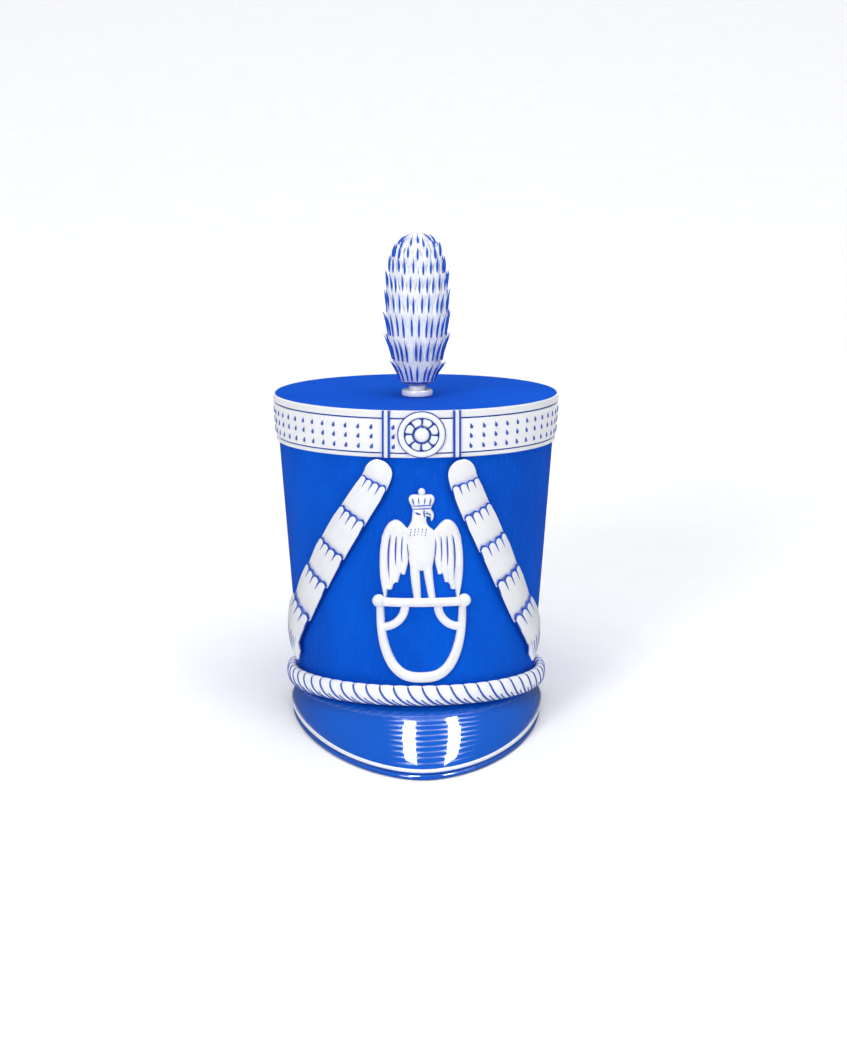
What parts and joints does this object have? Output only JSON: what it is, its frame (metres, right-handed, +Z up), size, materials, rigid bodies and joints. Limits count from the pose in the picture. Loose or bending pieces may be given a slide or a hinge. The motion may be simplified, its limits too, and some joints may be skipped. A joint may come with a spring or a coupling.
{
  "type": "shako hat",
  "caption": "Tall rigid military shako with a flared felt crown, lace band, cockade, feather plume, metal chin scales worn up, eagle badge, twisted base cord and glossy peak.",
  "frame": {"origin": "middle of the bottom of the hat's box as it rests on a flat surface, on the peak's edge and the back of the rim", "axes": "+Z up, -Y towards the front where the peak points, +X to the wearer's left, which is the right side seen from the front"},
  "size_m": [0.2142, 0.2988, 0.3617],
  "materials": {
    "blue_felt": "brushed wool felt, saturated blue",
    "top_leather": "smooth satin blue leather",
    "white_lace": "woven white lace with small blue drops",
    "blue_silk": "dark blue ribbon",
    "white_silk": "white pleated ribbon",
    "strap_leather": "blue strap leather",
    "white_metal": "white silvered metal, satin, with blue enamel in the engraved lines",
    "white_feather": "white clipped feather with blue tips in rows",
    "white_cord": "twisted white cotton cord with a blue tracer thread",
    "patent_leather": "high gloss blue patent leather",
    "white_binding": "white piping sewn along the edge"
  },
  "bodies": {
    "root": {"crown_shell": "blue_felt", "crown_top": "top_leather", "band_edge_upper": "white_lace", "band_lace": "white_lace", "band_edge_lower": "white_lace", "loop_left": "white_lace", "loop_right": "white_lace", "cockade_base": "blue_silk", "cockade_ring": "white_silk", "cockade_petal_1": "white_silk", "cockade_petal_2": "white_silk", "cockade_petal_3": "white_silk", "cockade_petal_4": "white_silk", "cockade_petal_5": "white_silk", "cockade_petal_6": "white_silk", "cockade_petal_7": "white_silk", "cockade_petal_8": "white_silk", "cockade_button": "white_metal", "plume_socket": "white_metal", "plume_stem": "white_metal", "plume": "white_feather", "scale_backing_left": "strap_leather", "scale_left_1": "white_metal", "scale_left_2": "white_metal", "scale_left_3": "white_metal", "scale_left_4": "white_metal", "scale_left_5": "white_metal", "scale_left_6": "white_metal", "scale_backing_right": "strap_leather", "scale_right_1": "white_metal", "scale_right_2": "white_metal", "scale_right_3": "white_metal", "scale_right_4": "white_metal", "scale_right_5": "white_metal", "scale_right_6": "white_metal", "badge": "white_metal", "base_cord": "white_cord", "peak": "patent_leather", "peak_binding": "white_binding", "peak_edge": "patent_leather"}
  },
  "joints": []
}
